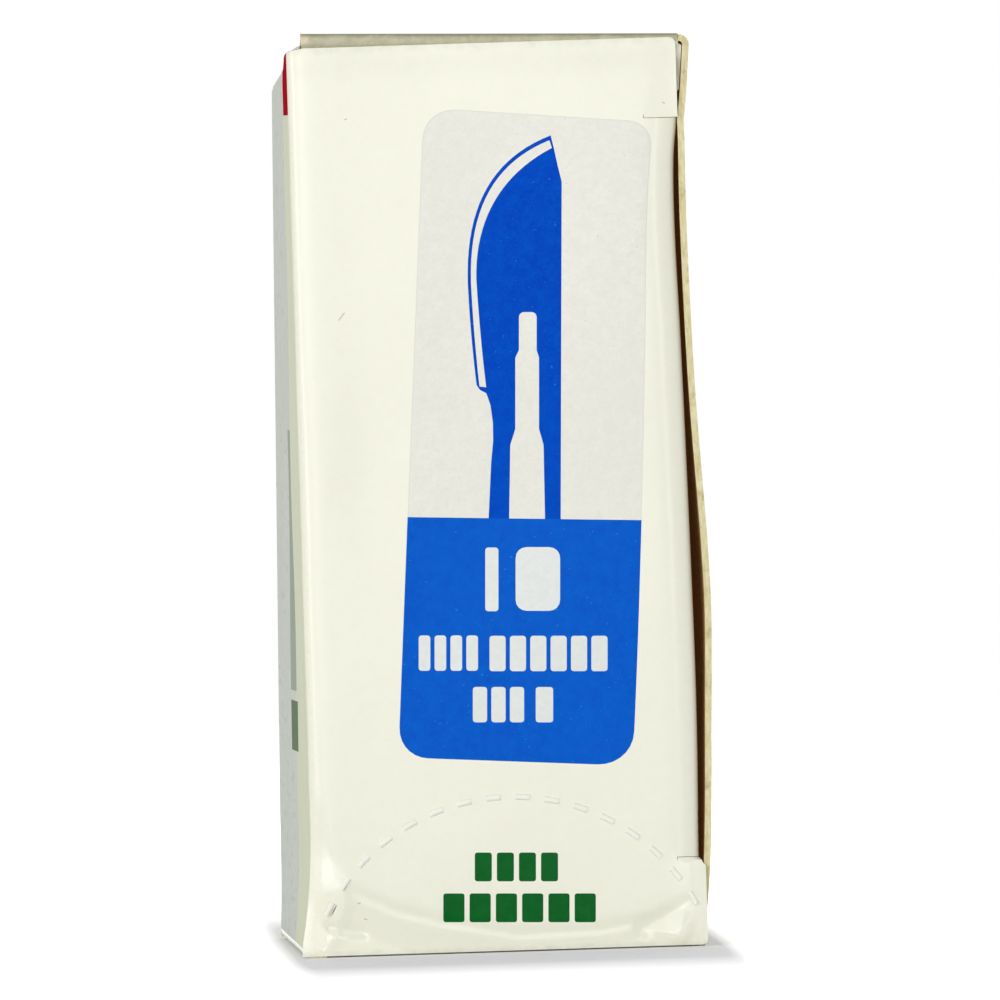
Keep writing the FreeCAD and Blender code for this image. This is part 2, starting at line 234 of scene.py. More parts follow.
# Cream varnished face of the board, also under each ink: fine mottle, rubbed folds and small scuffs
def varnishedBoard(name, colour, mottled, mottle, rubbedAndGlow=(226, 216, 184), gloss=0.19, specks=None, shine=0.45,
                   streak=1.0):
    def build(tree, shader, place):
        fine = noiseNode(tree, place, 2600, 3)
        broad = noiseNode(tree, place, 60, 4)
        blotch = noiseNode(tree, place, 900, 5, 0.7)
        shade = calculate(tree, "ADD", times(tree, fine, 0.4), times(tree, blotch, 0.6))
        tint = mixColour(tree, ranged(tree, shade, 0.5 - mottle, 0.5 + mottle), srgb(*mottled), srgb(*colour))
        tint = mixColour(tree, ranged(tree, broad, 0.35, 0.7, 0.0, 0.35), tint, srgb(*mottled))
        if specks:
            speckColour, scale, limit = specks
            drawn = scaled(tree, place, (1, streak, 1))     # below one, the specks are streaks along the carton
            spots = ranged(tree, noiseNode(tree, drawn, scale, 2, 0.6), limit, limit + 0.04)
            tint = mixColour(tree, spots, tint, srgb(*speckColour))
        ragged = times(tree, noiseNode(tree, place, 1500, 5, 0.7), 0.9)
        worn = ranged(tree, calculate(tree, "ADD", attribute(tree, "wearAndGlow"), ragged), 1.12, 1.34)
        # the worn colour, which on the cream also paints the glow line beside the closures' tuck folds
        tint = mixColour(tree, worn, tint, srgb(*rubbedAndGlow))
        # darker patches where the dirtAndShade attribute is high: painted shade on the front top crest and on
        # the dust flap strip under it, and elsewhere a darker foot, floor and closure edges
        dirtAndShadePatches = times(tree, attribute(tree, "dirtAndShade"), noiseNode(tree, place, 700, 5, 0.65))
        tint = mixColour(tree, ranged(tree, dirtAndShadePatches, 0.12, 0.8, 0.0, 0.85), tint, srgb(146, 144, 116))
        tree.links.new(tint, shader.inputs["Base Color"])
        shader.inputs["Specular IOR Level"].default_value = shine
        varnish = ranged(tree, blotch, 0.3, 0.7, gloss, gloss + 0.05)
        rough = calculate(tree, "MAXIMUM", varnish, ranged(tree, worn, 0, 1, 0.2, 0.75))
        tree.links.new(rough, shader.inputs["Roughness"])
        waves = times(tree, noiseNode(tree, place, 180, 3, 0.5), 0.9)
        grain = calculate(tree, "ADD", waves, times(tree, fine, 0.12))
        bump(tree, shader, calculate(tree, "SUBTRACT", grain, times(tree, worn, 0.25)), 0.35, 0.00012)
    return makeMaterial(name, build)


# Cut edge of the board: tan pulp in thin layers, darker where it is bruised
def cutBoardEdge(tree, shader, place):
    layers = noiseNode(tree, scaled(tree, place, (1, 1, 0.25)), 3200, 4, 0.7)
    bruise = noiseNode(tree, place, 420, 5, 0.7)
    tint = mixColour(tree, ranged(tree, layers, 0.32, 0.66), srgb(204, 190, 138), srgb(232, 226, 184))
    tint = mixColour(tree, ranged(tree, bruise, 0.56, 0.7, 0.0, 0.55), tint, srgb(150, 122, 70))
    tree.links.new(tint, shader.inputs["Base Color"])
    shader.inputs["Roughness"].default_value = 0.85
    bump(tree, shader, layers, 0.6, 0.00008)


# Inside of the board: uncoated, tan and fibrous
def uncoatedBoard(tree, shader, place):
    fibre = noiseNode(tree, scaled(tree, place, (1, 0.35, 1)), 1900, 5, 0.7)
    cloud = noiseNode(tree, place, 140, 4)
    tint = mixColour(tree, ranged(tree, fibre, 0.3, 0.7), srgb(172, 128, 70), srgb(208, 172, 108))
    tint = mixColour(tree, ranged(tree, cloud, 0.4, 0.75, 0.0, 0.4), tint, srgb(150, 132, 96))
    tree.links.new(tint, shader.inputs["Base Color"])
    shader.inputs["Roughness"].default_value = 0.9
    # stands in for the little light that comes through the board
    shader.inputs["Emission Color"].default_value = (0.3, 0.13, 0.04, 1)
    shader.inputs["Emission Strength"].default_value = 0.05
    bump(tree, shader, fibre, 0.5, 0.00008)


cream = varnishedBoard("cream_varnish", (240, 240, 224), (236, 235, 217), 0.25, rubbedAndGlow=(238, 235, 208),
                       gloss=0.14)
# A lighter copy of the cream for the raised lips round the tab: painted highlight
lipHighlightCream = varnishedBoard("torn_lips", (250, 250, 240), (240, 240, 228), 0.25, gloss=0.4, shine=0.2)
labelGrey = varnishedBoard("label_grey", (231, 230, 219), (221, 221, 211), 0.12,
                           specks=((204, 206, 202), 3000, 0.7))
labelLine = varnishedBoard("label_outline", (214, 216, 204), (222, 222, 210), 0.15)
inkBlue = varnishedBoard("blue_ink", (0, 62, 184), (0, 84, 200), 0.16, rubbedAndGlow=(150, 180, 214), gloss=0.34,
                         specks=((24, 116, 216), 2600, 0.68), shine=0.02)
fieldBlue = varnishedBoard("blue_field", (0, 80, 194), (0, 98, 208), 0.16, rubbedAndGlow=(150, 180, 214), gloss=0.34,
                           specks=((24, 122, 218), 2600, 0.68), shine=0.04)
markWhite = varnishedBoard("knocked_out_white", (228, 231, 227), (216, 221, 218), 0.15)
inkGreen = varnishedBoard("green_ink", (4, 88, 30), (12, 100, 40), 0.12,
                          specks=((84, 142, 92), 3800, 0.74), shine=0.04)
inkRed = varnishedBoard("red_ink", (204, 30, 50), (166, 16, 34), 0.12, rubbedAndGlow=(206, 120, 110), shine=0)
sideCream = varnishedBoard("side_cream", (243, 246, 222), (230, 233, 208), 0.2, gloss=0.5, shine=0)
sideGrey = varnishedBoard("side_grey", (238, 240, 232), (216, 222, 214), 0.1, gloss=0.5,
                          specks=((218, 223, 214), 900, 0.6), shine=0, streak=0.07)
sageInk = varnishedBoard("sage_ink", (172, 184, 170), (184, 194, 180), 0.12, gloss=0.5, shine=0)
fadedMark = varnishedBoard("faded_mark", (116, 134, 106), (136, 152, 126), 0.2, gloss=0.5, shine=0)
scuff = varnishedBoard("scuff_mark", (206, 202, 180), (186, 182, 160), 0.15)
# A darker copy of the cream for the front top crest: painted shade
crestPaintedShade = varnishedBoard("crest_painted_shade", (214, 211, 188), (188, 184, 158), 0.15, rubbedAndGlow=(234, 218, 192),
                             shine=0)
rawEdge = makeMaterial("raw_board_edge", cutBoardEdge)
innerFace = makeMaterial("uncoated_inside", uncoatedBoard)
print("materials ready")


# Gives a bent skin the board's thickness, inwards, and paints its cut edges and its inside
def boardFromSkin(name, points, faces, slots, inks, wearAndGlow, dirtAndShade, outwards):
    mesh = bpy.data.meshes.new(name + "_skin")
    mesh.from_pydata([[c * mm for c in p] for p in points], [], faces)
    for key, values in (("wearAndGlow", wearAndGlow), ("dirtAndShade", dirtAndShade)):
        layer = mesh.attributes.new(key, "FLOAT", "POINT")
        layer.data.foreach_set("value", values)
    for polygon, slot in zip(mesh.polygons, slots):
        polygon.material_index = slot
    skin = linked(name, mesh)
    for ink in inks + [rawEdge, innerFace]:
        mesh.materials.append(ink)
    weld = bmesh.new()
    weld.from_mesh(mesh)
    bmesh.ops.delete(weld, geom=[v for v in weld.verts if not v.link_faces], context="VERTS")
    bmesh.ops.remove_doubles(weld, verts=weld.verts, dist=0.004 * mm)
    bmesh.ops.recalc_face_normals(weld, faces=weld.faces)
    spot, direction = Vector(outwards[0]) * mm, Vector(outwards[1])
    facing = min(weld.faces, key=lambda f: (f.calc_center_median() - spot).length)
    if facing.normal.dot(direction) < 0:
        bmesh.ops.reverse_faces(weld, faces=weld.faces)
    weld.to_mesh(mesh)
    weld.free()
    outer = len(mesh.polygons)
    thick = skin.modifiers.new("board", "SOLIDIFY")
    thick.thickness = sheet["board"] * mm
    thick.offset = -1
    thick.use_even_offset = True
    solid = bpy.data.meshes.new_from_object(skin.evaluated_get(bpy.context.evaluated_depsgraph_get()))
    skin.modifiers.clear()
    skin.data = solid
    for number, polygon in enumerate(solid.polygons):
        if number >= 2 * outer:
            polygon.material_index = len(inks)
        elif number >= outer:
            polygon.material_index = len(inks) + 1
    solid.shade_smooth()
    solid.set_sharp_from_angle(angle=math.radians(38))
    print(name, len(solid.polygons), "faces")
    return skin


# The four walls, the glue flap and the dust flaps, bent from one sheet
body = {
    "ramp": 5.0,                # length of the top and floor strips that bend into the dust flaps
    "stripLeft": 1.4,
    "stripRight": 1.0,
    "slit": 0.08,
    "edgeGap": 0.07,
    "mouthDip": 0.35,           # the corner's bow behind the front closure
    "dustSink": 0.6,            # how far the dust flaps lie behind the closures
    "dustLength": 30.0,
    "dustShoulder": 5.4,
    "dustStep": 2.3,
    "dustClear": 1.3,
    "dustTaper": 2.5,
    "dustCorner": 3.0,
    "tuckReach": 37.9,
    "crestLeft": 1.2,
    "crestRight": 0.1,
    "glueWidth": 11.0,
    "glueSlant": 3.5,
    "redEnd": -24.0,            # printed fields on the left wall: depths and heights of their edges
    "redFoot": 83.4,
    "greyStart": -20.0,         # the grey lies behind a cream border
    "sageField": (-20.0, -4.0, 26.0, 52.0),
    "markField": (-24.0, -4.0, 20.0, 25.0),
    "wholeCorner": 0.55,        # the top left corner's size near the front, before it is crushed
    "cornerSag": 0.45,
    "waves": 0.22,
}
mouthFront = sheet["frontFace"] + sheet["mouthSetback"]
mouthBack = sheet["backFace"] - sheet["mouthSetback"]
stripColumns = 20
bodyPoints, bodyFaces, bodySlots, bodyWear, bodyDirtAndShade = [], [], [], [], []


# The top left corner is whole near the front closure, 1, and crushed further back, 0
def whole(y):
    return 1 - smooth((y + 38) / 9)


def crushAt(y):
    crushed = mix(sheet["foldRadius"], sheet["crushSize"], min(max(along(sheet["crush"], y), 0), 1))
    return mix(crushed, body["wholeCorner"], whole(y))


# Adds a grid of points, row by row, with one slot for each face
def addGrid(rows, slotOf):
    first = len(bodyPoints)
    width = len(rows[0])
    for row in rows:
        for x, y, z, wearAndGlow, dirtAndShade in row:
            bodyPoints.append((x, y, z))
            bodyWear.append(wearAndGlow)
            bodyDirtAndShade.append(dirtAndShade)
    for r in range(len(rows) - 1):
        for c in range(width - 1):
            a = first + r * width + c
            bodyFaces.append((a, a + 1, a + width + 1, a + width))
            y, z = [(rows[r][c][k] + rows[r + 1][c + 1][k]) / 2 for k in (1, 2)]
            bodySlots.append(slotOf(c, y, z))


def plainSlot(column, y, z):
    return 0


# The left wall's print: its edges lie on the sheet's own rows, so they are straight
def leftSlot(column, y, z):
    if column == 0 or z < 1:
        return 0
    if z > body["redFoot"]:
        return 1 if y < body["redEnd"] else 2
    for slot, (near, far, low, high) in ((3, body["markField"]), (4, body["sageField"])):
        if near < y < far and low < z < high:
            return slot
    return 2 if y > body["greyStart"] else 5


# One row of the right wall at depth y, from its cut foot up over the top fold
def rightPart(y):
    top, radius = sheet["top"], sheet["foldRadius"]
    row = []
    for z in [0.05, 0.5, 1.2, 2.2] + steps(3.5, top - radius - 2, 46) + [top - radius - 1, top - radius]:
        away = min(abs(y - mouthFront), abs(y - mouthBack), z, top - z)
        dent = handling(0, y, z, 3.1, 24, body["waves"]) * smooth((away - 1) / 8)
        row.append((rightX(z, y) - dent, y, z, 0.55 * max(0, 1 - z / 1.5), 0.3 * max(0, 1 - z / 6)))
    corner = rightX(top - radius, y)
    for turn in steps(0, math.pi / 2, 6)[1:]:
        x = corner - radius + radius * math.cos(turn)
        z = top - radius + radius * math.sin(turn)
        row.append((x, y, z, 0.62 * math.sin(2 * turn) + 0.1, 0.25))
    return row


# How far the top's flat strip stays from the left wall
def stripInset(y):
    return max(body["stripLeft"], crushAt(y) + 0.08)


def topPart(y):
    left, right = leftX(sheet["top"], y), rightX(sheet["top"] - sheet["foldRadius"], y)
    start, end = right - body["stripRight"], left + stripInset(y)
    row = []
    for share in steps(0, 1, stripColumns):
        x = mix(start, end, share)
        away = min(abs(y - mouthFront), abs(y - mouthBack))
        dent = handling(x, y, 0, 7.7, 20, body["waves"]) * smooth((away - 5) / 8) * smooth(4 * share)
        dent *= smooth(4 - 4 * share)
        row.append((x, y, sheet["top"] - dent, 0.0, 0.15))
    return row


def leftPart(y):
    top, radius = sheet["top"], sheet["foldRadius"]
    left, crush = leftX(top, y), crushAt(y)
    flat = sheet["crushFlatness"] * min(max(along(sheet["crush"], y), 0), 1)
    high = top - body["cornerSag"] * whole(y)
    corner = Vector((left, high)).lerp(Vector((left + crush / 2, high - crush / 2)), flat)
    dip = body["mouthDip"] * smooth((mouthFront + 3.5 - y) / 3)
    row = [(left + stripInset(y), y, top - dip, 0, 0.2)]
    for number, (x, z) in enumerate(bezier([(left + crush, high), corner, (left, high - crush)], 8)):
        crease = 0.16 * flat * handling(y, x, z, 5.5, 3.5, 1.0)
        row.append((x + crease, y, z - crease, 0.75 * math.sin(math.pi * number / 8), 0.3))
    levels, last = steps(high - crush, body["redFoot"], 3)[1:], body["redFoot"]
    for stop, count in ((52, 16), (26, 13), (25, 1), (20, 3), (sheet["kickHeight"], 4), (radius, 12)):
        levels += steps(last, stop, count)[1:]
        last = stop
    for z in levels:
        away = min(abs(y - mouthFront), abs(y - mouthBack), z, top - z)
        dent = handling(9, y, z, 1.3, 22, body["waves"]) * smooth((away - 1) / 8)
        row.append((leftX(z, y) + dent, y, z, 0.0, 0.1 * smooth((16 - z) / 9)))
    foot = leftX(radius, y)
    for number, (x, z) in enumerate(bezier([(foot, radius), (foot, 0), (foot + radius, 0)], 5)[1:]):
        row.append((x, y, z, 0.5 * math.sin(math.pi * (number + 1) / 5), 0.4))
    row.append((foot + radius + body["stripLeft"], y, 0, 0, 0.5))
    return row


def floorPart(y):
    left = leftX(sheet["foldRadius"], y) + sheet["foldRadius"] + body["stripLeft"]
    right = rightX(0, y) - sheet["board"] - 0.6
    return [(mix(left, right, share), y, 0, 0, 0.4) for share in steps(0, 1, stripColumns)]


def gluePart(y):
    middle = (mouthFront + mouthBack) / 2
    row = []
    for x, z in bezier([(rightX(0, y) - 1.25, 0), (rightX(0, y) - 0.75, 0), (rightX(0.6, y) - 0.72, 0.6)], 4):
        row.append((x, y, z, 0, 0.3))
    for z in steps(0.6, body["glueWidth"], 6)[1:]:
        slant = 1 - body["glueSlant"] * z / body["glueWidth"] / (mouthBack - body["ramp"] - middle)
        glued = middle + (y - middle) * slant
        row.append((rightX(z, glued) - sheet["board"] - 0.06, glued, z, 0, 0))
    return row


wallRows = steps(mouthFront + body["ramp"], body["redEnd"], 10) + steps(body["redEnd"], -20, 2)[1:]
wallRows += steps(-20, -4, 6)[1:] + steps(-4, mouthBack - body["ramp"], 20)[1:]
frontRows = [mouthFront + step for step in (0, 0.25, 0.7, 1.3, 2.2, 3.5, body["ramp"])]
backRows = [mouthBack - step for step in (body["ramp"], 3.5, 2.2, 1.3, 0.7, 0.25, 0)]
for part, slotOf in ((rightPart, plainSlot), (leftPart, leftSlot)):
    addGrid([part(y) for y in frontRows[:-1] + wallRows + backRows[1:]], slotOf)
for part in (topPart, floorPart, gluePart):
    addGrid([part(y) for y in wallRows], plainSlot)


# A dust flap: the strip of the top or the floor near the mouth, its fold, and the flap behind the closure
def dustFlap(out, level):
    mouth = mouthFront if out < 0 else mouthBack
    raised = out < 0 and level > 0
    base = sheet["top"] if level > 0 else 0.0
    radius = sheet["foldRadius"]
    source = topPart if level > 0 else floorPart
    leftFold = straightX(-1, sheet["top"] if out < 0 else base, mouth)
    narrow = leftFold + body["tuckReach"] - body["dustClear"]
    rows = []
    for step in (body["ramp"], body["ramp"] - 0.5, 3.4, 2.2, radius):
        y = mouth - out * step
        strip = source(y)
        parting = smooth((body["ramp"] - step) / 0.5) * body["slit"]
        rise = (body["ramp"] - step) / (body["ramp"] - radius) if raised else 0.0
        row = []
        for (x, _, z, _, _), share in zip(strip, steps(0, 1, stripColumns)):
            side = share if level > 0 else 1 - share
            lift = mix(body["crestRight"], body["crestLeft"], side) * rise
            inwards = level * (-parting if share < 0.5 else parting) * abs(1 - 2 * share)
            # on the raised flap dirtAndShade rises towards the crest: painted shade
            row.append((x + inwards, y, z + lift, 0.25 * rise, 0.3 + 1.6 * rise))
        rows.append(row)
    crest = rows[-1]
    for turn in steps(0, math.pi / 2, 6)[1:]:
        y = mouth - out * (radius - radius * math.sin(turn))
        drop = radius - radius * math.cos(turn)
        # the crest's top row and its foot get the most dirtAndShade: painted shade lines along the fold; the
        # other flaps' folds get 0.75
        foldShadeAndDirt = 0.1 + 2.6 * math.cos(turn) ** 4 + 0.5 * math.sin(turn) ** 12 if raised else 0.75
        rows.append([(x, y, z - level * drop, 1.1 if raised and n == stripColumns else 0.3, foldShadeAndDirt)
                     for n, (x, _, z, _, _) in enumerate(crest)])
    starts = [point[2] - level * radius for point in crest]
    ends = (crest[0][0], crest[-1][0]) if level > 0 else (crest[-1][0], crest[0][0])
    shoulderZ = base - level * body["dustShoulder"]
    rightLow = rightX(shoulderZ, mouth) - sheet["board"] - body["edgeGap"]
    rightHigh = rightX(base - level * 1.2, mouth) - sheet["board"] - body["edgeGap"]
    rightSide = [(radius, ends[0]), (1.2, rightHigh), (body["dustShoulder"], rightLow)]
    rightSide += [(body["dustShoulder"] + body["dustStep"], narrow)]
    rightSide += [(body["dustLength"] - body["dustCorner"], narrow - body["dustTaper"])]
    rightSide += [(body["dustLength"], narrow - body["dustTaper"] - body["dustCorner"])]
    leftSide = [(radius, ends[1]), (body["dustShoulder"], leftFold + 1.6)]
    leftSide += [(body["dustLength"] - body["dustCorner"], leftFold + 1.6 + body["dustTaper"])]
    leftSide += [(body["dustLength"], leftFold + 1.6 + body["dustTaper"] + body["dustCorner"])]

    def bound(side, down):
        for (d0, x0), (d1, x1) in zip(side, side[1:]):
            if down <= d1:
                return mix(x0, x1, (down - d0) / (d1 - d0))
        return side[-1][1]

    for down in (1.2, 1.8, 2.8, 4.0, 5.4, 6.5, 7.7, 10, 13, 16, 19, 22, 25, 27, 28.5, 30):
        high, low = bound(rightSide, down), bound(leftSide, down)
        settled = smooth((down - radius) / 3)
        row = []
        for n, share in enumerate(steps(0, 1, stripColumns)):
            x = mix(high, low, share) if level > 0 else mix(low, high, share)
            z = mix(starts[n], base - level * down, settled) - level * (down - radius) * (1 - settled)
            y = mouth - out * body["dustSink"] * smooth((down - radius) / 2.5)
            # the raised flap's strip under the fold gets 0.9 dirtAndShade: painted shade in its recess behind
            # the closure
            row.append((x, y, z, 0.0, 0.9 if raised and down < 1.5 else 0.3))
        rows.append(row)
    crestEnd = mouth + body["ramp"] - 1.5
    # slot 6 puts the crest's darker cream copy on the raised flap's crest rows: painted shade
    addGrid(rows, lambda column, y, z: 6 if raised and y < crestEnd and z > base - 0.6 else 0)


for out in (-1, 1):
    for level in (1, -1):
        dustFlap(out, level)
sideInks = [cream, inkRed, sideGrey, fadedMark, sageInk, sideCream, crestPaintedShade]
rightSpot = ((rightX(45, 0), 0, 45), (1, 0, 0))
carton = boardFromSkin("folded_walls", bodyPoints, bodyFaces, bodySlots, sideInks, bodyWear, bodyDirtAndShade,
                       rightSpot)
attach(carton, "carton")
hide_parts("carton_body")

# An end closure: a flat blank with its print, cut and folded round the carton's end. Its places are
# measured from the hinge line, b, and from the table, z
closure = {
    "foot": 0.15,
    "top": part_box("front_flap")[1].z / mm,
    "stripRadius": 0.85,        # left fold, from the wall round to the panel
    "foldStart": 35.3,          # where the panel starts to turn towards the tuck fold
    "gentleTurn": 22.0,
    "gentleLength": 2.4,
    "tightRadius": 0.95,
    "tuckTurn": 102.0,
    "tuckDepth": 11.0,
    "tuckTaper": 2.0,
    "tuckCorner": 4.0,
    "shoulderTop": (7.9, 38.3),
    "shoulderFoot": (8.7, 38.9),
    "shoulderRound": 0.7,
    "slit": 0.05,
    "slitTop": 3.4,
    "slitFoot": 2.8,
    "slitHook": 0.3,
    "gridStep": 0.9,
    "lieBack": 0.22,            # the panel's usual distance behind its furthest point
    "frontFold": [(9, 38.33), (24, 38.57), (40, 38.45), (60, 38.15), (71, 37.9), (78, 38.0), (82, 38.45)],
    "backFold": [(9, 38.4), (82, 37.9)],
    # how far the dented left fold eats into the panel
    "wedgePanel": [(0, 0.0), (4.5, 0.35), (9, 0.75), (14, 0.5), (24, 0.4), (36, 0.3), (50, 0.3), (62, 0.0),
                   (90, 0.0)],
}
tab = {"radius": 20.4, "rise": 15.1, "centre": 0.3, "cuts": 16, "step": 8.09, "cutLength": 1.3,
       "cutWidth": 0.11}


def roundedPolygon(corners, radii, count=7):
    found = []
    for n, corner in enumerate(corners):
        here = Vector(corner)
        toLast = (Vector(corners[n - 1]) - here).normalized()
        toNext = (Vector(corners[(n + 1) % len(corners)]) - here).normalized()
        reach = radii[n] / math.tan(toLast.angle(toNext) / 2)
        found += bezier([here + toLast * reach, here.lerp(here + toLast * reach, 0.42),
                         here.lerp(here + toNext * reach, 0.42), here + toNext * reach], count)
    return found


def turned(points, centre, degrees):
    turn = Matrix.Rotation(math.radians(degrees), 2)
    return [tuple(Vector(centre) + turn @ (Vector(p) - Vector(centre))) for p in points]


def block(x0, x1, z0, z1, radius):
    centre = ((x0 + x1) / 2, (z0 + z1) / 2)
    corners = [(x0, z0), (x1, z0), (x1, z1), (x0, z1)]
    return turned(roundedPolygon(corners, [radius] * 4, 4), centre, artwork["tilt"])


# A word's place, filled with plain rounded blocks
def blockRow(x0, x1, middle, height, count, gap, radius):
    width = (x1 - x0 - gap * (count - 1)) / count
    slope = math.tan(math.radians(artwork["tilt"]))
    row = []
    for n in range(count):
        start = x0 + n * (width + gap)
        z = middle + slope * (start + width / 2 - (x0 + x1) / 2)
        row.append(block(start, start + width, z - height / 2, z + height / 2, radius))
    return row


# Print on the front closure, in the frame's x and z
artwork = {
    "tilt": -1.8,
    "label": [(-5.9, 83.75), (16.86, 81.6), (12.65, 18.05), (-10.4, 19.6)],
    "labelRadii": [3.2, 2.9, 3.4, 3.0],
    "blueTop": [(-9.6, 43.36), (14.7, 42.27)],
    "blueFoot": 17.5,
    "scuffs": [(-13.75, 82.7, 0.3, 20), (17.5, 83.5, 0.3, -30), (-14.9, 62.9, 1.0, 52), (-14.9, 5.2, 0.35, 10),
               (-14.3, 3.7, 0.35, -20)],     # place, length and turn
}


def bladeShapes():
    cutting = bezier([(-1.5, 56.13), (-1.95, 60.8), (-2.06, 66.2)], 8)
    cutting += bezier([(-2.06, 66.2), (-2.06, 74.2), (1.0, 78.6), (6.59, 80.6)], 20)[1:]
    outline = [(-0.8, 42.0), (-0.31, 48.4), (-0.04, 50.6), (-0.01, 52.36), (-0.21, 54.18), (-0.57, 55.31)]
    outline += [(-1.2, 55.67)] + cutting + [(6.83, 79.51), (7.23, 77.44), (7.54, 76.0), (6.36, 41.5)]
    bevel = bezier([(-1.22, 56.0), (-1.62, 60.8), (-1.74, 66.2)], 8)
    bevel += bezier([(-1.74, 66.2), (-1.74, 74.0), (1.25, 78.2), (6.45, 80.12)], 20)[1:]
    bevel += bezier([(6.67, 79.35), (1.6, 76.9), (-1.2, 72.5), (-1.2, 66.5)], 20)
    bevel += bezier([(-1.2, 66.5), (-1.0, 60.5), (-0.56, 55.9)], 8)[1:]
    slotCorners = [(2.91, 63.22), (4.66, 63.18), (4.54, 59.41), (4.75, 58.66), (4.53, 51.62), (4.93, 50.02)]
    slotCorners += [(4.83, 41.6), (1.25, 41.6), (1.64, 50.12), (2.19, 51.69), (2.41, 58.73), (2.79, 59.47)]
    slot = roundedPolygon(slotCorners, [0.5, 0.5, 0.15, 0.15, 0.3, 0.3, 0.1, 0.1, 0.3, 0.3, 0.15, 0.15], 4)
    return outline, bevel, slot


# Every printed outline with the ink it shows, later ones on top
def frontPrint():
    blade, bevel, slot = bladeShapes()
    middle = sum((Vector(p) for p in artwork["label"]), Vector((0, 0))) / 4
    inner = [tuple(Vector(p) - Vector([math.copysign(0.11, a) for a in Vector(p) - middle]))
             for p in artwork["label"]]
    shapes = [("label", roundedPolygon(artwork["label"], artwork["labelRadii"]), 5)]
    shapes += [("field", roundedPolygon(inner, artwork["labelRadii"]), 1), ("blade", blade, 2)]
    shapes += [("bevel", bevel, 1), ("slot", slot, 1)]
    low = artwork["blueFoot"]
    shapes += [("blue", [(-11.2, low), (14.6, low), artwork["blueTop"][1], artwork["blueTop"][0]], 7)]
    marks = [block(-1.25, 0.05, 33.75, 40.05, 0.3), block(1.75, 6.15, 33.65, 39.95, 1.1)]
    marks += blockRow(-8.06, -2.2, 29.75, 3.5, 4, 0.42, 0.3) + blockRow(-1.06, 10.6, 29.4, 3.5, 6, 0.42, 0.3)
    marks += blockRow(-2.87, 2.2, 24.5, 3.5, 3, 0.42, 0.3) + blockRow(3.35, 5.07, 24.35, 3.5, 1, 0, 0.3)
    shapes += [("mark", mark, 3) for mark in marks]
    greens = blockRow(-3.18, 5.05, 8.4, 2.85, 4, 0.5, 0.25) + blockRow(-6.42, 8.66, 4.35, 2.85, 6, 0.5, 0.25)
    shapes += [("green", green, 4) for green in greens]
    spots = [turned(block(x, x + long, z, z + 0.12, 0.05), (x, z), turn)
             for x, z, long, turn in artwork["scuffs"]]
    shapes += [("crease", polygon, 0) for polygon, _, _ in creases["facets"]]
    return shapes + [("scuff", spot, 6) for spot in spots]


def tabCuts():
    cuts = []
    length, width = tab["cutLength"] / 2, tab["cutWidth"] / 2
    lens = [(length * math.cos(a), width * math.sin(a)) for a in steps(0, 2 * math.pi, 10)[:-1]]
    for n in range(tab["cuts"]):
        angle = math.radians((n - (tab["cuts"] - 1) / 2) * tab["step"])
        out = Vector((math.sin(angle), math.cos(angle)))
        side = Vector((math.cos(angle), -math.sin(angle)))
        middle = Vector((tab["centre"], tab["rise"] - tab["radius"])) + out * tab["radius"]
        cuts.append([tuple(middle + side * a + out * b) for a, b in lens])
    return cuts


def blankOutline(cornerRun, cornerDrop):
    c = closure
    foot, top, slit = c["foot"], c["top"], c["slit"]
    start, fold = c["foldStart"], c["foldStart"] + foldLength
    low, high = foot + c["shoulderFoot"][0], top - c["shoulderTop"][0]
    rightFoot, rightTop, corner = c["shoulderFoot"][1], c["shoulderTop"][1], c["shoulderRound"]
    innerFoot, innerTop = rightFoot - c["slitFoot"], rightTop - c["slitTop"]
    tip, bevel = fold + c["tuckDepth"], fold + c["tuckDepth"] - c["tuckCorner"]
    outline = [(stripStart, foot), (rightFoot - corner, foot)]
    outline += bezier([(rightFoot - corner, foot), (rightFoot, foot), (rightFoot, foot + corner)], 4)[1:]
    outline += [(rightFoot, low), (innerFoot + slit, low), (innerFoot + slit, low - c["slitHook"])]
    outline += [(innerFoot, low - c["slitHook"]), (innerFoot, low + slit), (start, low + slit)]
    outline += [(fold, low + slit), (bevel, low + slit + c["tuckTaper"])]
    outline += [(tip, low + slit + c["tuckTaper"] + c["tuckCorner"])]
    outline += [(tip, high - slit - c["tuckTaper"] - c["tuckCorner"]), (bevel, high - slit - c["tuckTaper"])]
    outline += [(fold, high - slit), (start, high - slit), (innerTop, high - slit)]
    outline += [(innerTop, high + c["slitHook"]), (innerTop + slit, high + c["slitHook"])]
    outline += [(innerTop + slit, high), (rightTop, high)]
    outline += bezier([(rightTop, top - corner), (rightTop, top), (rightTop - corner, top)], 4)
    outline += [(cornerRun, top), (stripStart, top - cornerDrop)]
    return outline


# The path round the tuck fold, as pairs of across and inwards for each step along the board
def tuckPath():
    path, across, inwards = [(0.0, 0.0)], 0.0, 0.0
    gentle, full = math.radians(closure["gentleTurn"]), math.radians(closure["tuckTurn"])
    for n in range(1, 400):
        run = (n - 0.5) * foldStep
        if run < closure["gentleLength"]:
            angle = gentle * (run / closure["gentleLength"]) ** 2
        else:
            angle = min(gentle + (run - closure["gentleLength"]) / closure["tightRadius"], full)
        across += math.cos(angle) * foldStep
        inwards += math.sin(angle) * foldStep
        path.append((across, inwards))
    return path


foldStep = 0.05
foldPath = tuckPath()
foldWidth = max(across for across, _ in foldPath)
tightTurn = math.radians(closure["tuckTurn"] - closure["gentleTurn"])
foldLength = closure["gentleLength"] + tightTurn * closure["tightRadius"]
stripLength = closure["stripRadius"] * math.pi / 2
stripStart = closure["stripRadius"] - stripLength


